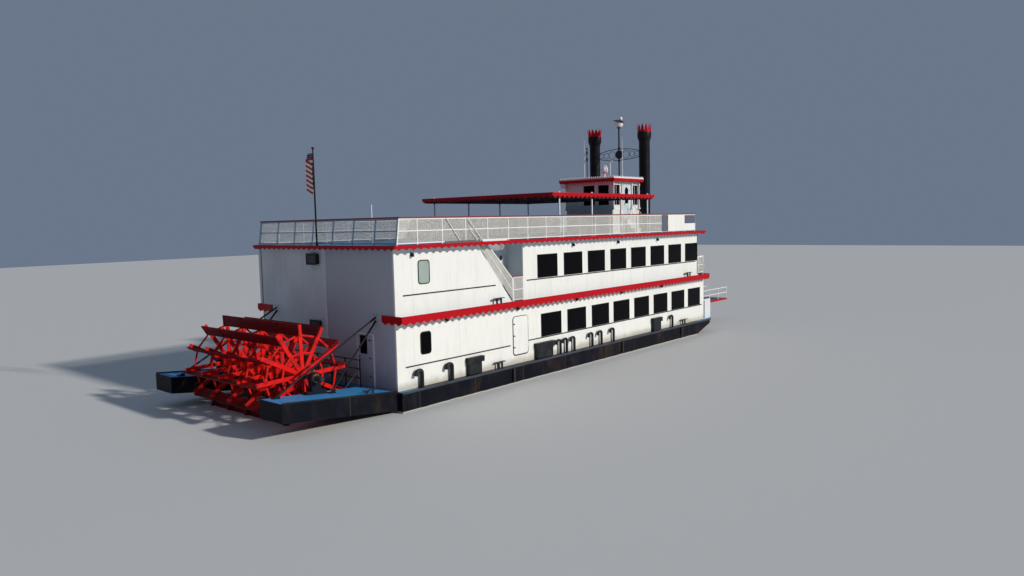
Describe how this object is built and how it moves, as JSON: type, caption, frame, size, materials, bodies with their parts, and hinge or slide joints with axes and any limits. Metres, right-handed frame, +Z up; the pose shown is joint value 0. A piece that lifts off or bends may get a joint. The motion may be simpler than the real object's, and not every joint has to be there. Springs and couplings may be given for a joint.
{
  "type": "sternwheel paddle boat",
  "caption": "River excursion boat with a red stern paddle wheel, a white two-storey deckhouse, an open roof deck with canopy, a pilothouse and twin crowned chimneys",
  "frame": {"origin": "centre of the bounding box in plan, at the level of the flat bottom", "axes": "+X forward to the bow, +Y to port, +Z up"},
  "size_m": [35.88, 9.67, 14.14],
  "materials": {
    "hull_black": "satin, streaked with rust and scum",
    "deck_blue": "worn satin",
    "house_white": "satin, weathered",
    "trim_red": "satin",
    "wheel_red": "gloss, chipped",
    "board_red": "wet painted timber",
    "fitting_black": "satin",
    "stay_black": "satin",
    "steel_dark": "dull",
    "rail_white": "satin",
    "inner_grey": "satin",
    "tinted_glass": "dark tint",
    "stack_black": "satin",
    "lamp_white": "gloss globe",
    "cloth": "woven"
  },
  "bodies": {
    "boat": {"hull": "hull_black", "main_deck": "deck_blue", "wing_starboard": "hull_black", "wing_port": "hull_black", "rudder_beam": "steel_dark", "bearing_starboard": "fitting_black", "bearing_port": "fitting_black", "stay_starboard": "stay_black", "stay_port": "stay_black", "walkway_rail": "stay_black", "lower_wall_starboard": "house_white", "lower_wall_port": "house_white", "stern_wall": "house_white", "lower_wall_bow": "house_white", "second_deck": "deck_blue", "trim_second_deck": "trim_red", "upper_wall_starboard_aft": "house_white", "upper_wall_starboard": "house_white", "upper_wall_port": "house_white", "upper_wall_bow": "house_white", "stair_walls": "inner_grey", "stair": "inner_grey", "glass_lower_starboard": "tinted_glass", "glass_lower_port": "tinted_glass", "glass_upper_starboard": "tinted_glass", "glass_upper_port": "tinted_glass", "roof_deck": "deck_blue", "trim_roof_deck": "trim_red", "roof_rail_starboard": "rail_white", "roof_rail_port": "rail_white", "roof_rail_stern": "rail_white", "roof_rail_bow": "rail_white", "canopy_frame": "rail_white", "canopy_roof": "trim_red", "pilothouse": "house_white", "pilothouse_glass": "tinted_glass", "pilothouse_roof": "trim_red", "stack_starboard": "stack_black", "stack_port": "stack_black", "mast_and_spreader": "steel_dark", "mast_lamp": "lamp_white", "foredeck_bulwark": "rail_white", "second_deck_bow_rail": "rail_white", "flagstaff": "steel_dark", "ensign": "cloth", "deck_fittings_starboard": "fitting_black", "deck_fittings_port": "fitting_black", "stair_railing": "rail_white", "pilothouse_aerials": "steel_dark"},
    "paddle_wheel": {"wheel_shaft": "steel_dark", "wheel_frames": "wheel_red", "wheel_boards": "board_red"},
    "rudder_starboard": {"rudder_starboard": "steel_dark"},
    "rudder_port": {"rudder_port": "steel_dark"},
    "side_door": {"side_door": "house_white"},
    "stern_door": {"stern_door": "house_white"},
    "bow_door": {"bow_door": "house_white"},
    "pilothouse_door": {"pilothouse_door": "inner_grey"},
    "landing_stage": {"landing_stage": "trim_red"}
  },
  "joints": [
    {"name": "wheel_turn", "type": "hinge", "parent": "boat", "child": "paddle_wheel", "pos_m": [-15.81, 0, 2.56], "axis": [0, 1, 0], "continuous": true},
    {"name": "rudder_turn", "type": "hinge", "parent": "boat", "child": "rudder_starboard", "pos_m": [-13.29, -1.3, 0.7], "axis": [0, 0, 1], "range_deg": [-35, 35]},
    {"name": "rudder_port_turn", "type": "hinge", "parent": "boat", "child": "rudder_port", "pos_m": [-13.29, 1.3, 0.7], "axis": [0, 0, 1], "range_deg": [-35, 35]},
    {"name": "side_door_swing", "type": "hinge", "parent": "boat", "child": "side_door", "pos_m": [-5.46, -4.4595, 2.935], "axis": [0, 0, 1], "range_deg": [0, 100]},
    {"name": "stern_door_swing", "type": "hinge", "parent": "boat", "child": "stern_door", "pos_m": [-12.9655, -3.085, 2.705], "axis": [0, 0, -1], "range_deg": [0, 95]},
    {"name": "bow_door_swing", "type": "hinge", "parent": "boat", "child": "bow_door", "pos_m": [11.4445, -0.4, 2.72], "axis": [0, 0, -1], "range_deg": [0, 95]},
    {"name": "pilothouse_door_swing", "type": "hinge", "parent": "boat", "child": "pilothouse_door", "pos_m": [7.58, -1.6445, 8.9], "axis": [0, 0, 1], "range_deg": [0, 100]},
    {"name": "stage_lift", "type": "hinge", "parent": "boat", "child": "landing_stage", "pos_m": [12.36, -2.145, 2.29], "axis": [0, -1, 0], "range_deg": [-8, 60]}
  ],
  "couplings": [
    {"joint": "rudder_port_turn", "follows": "rudder_turn", "ratio": 1}
  ]
}
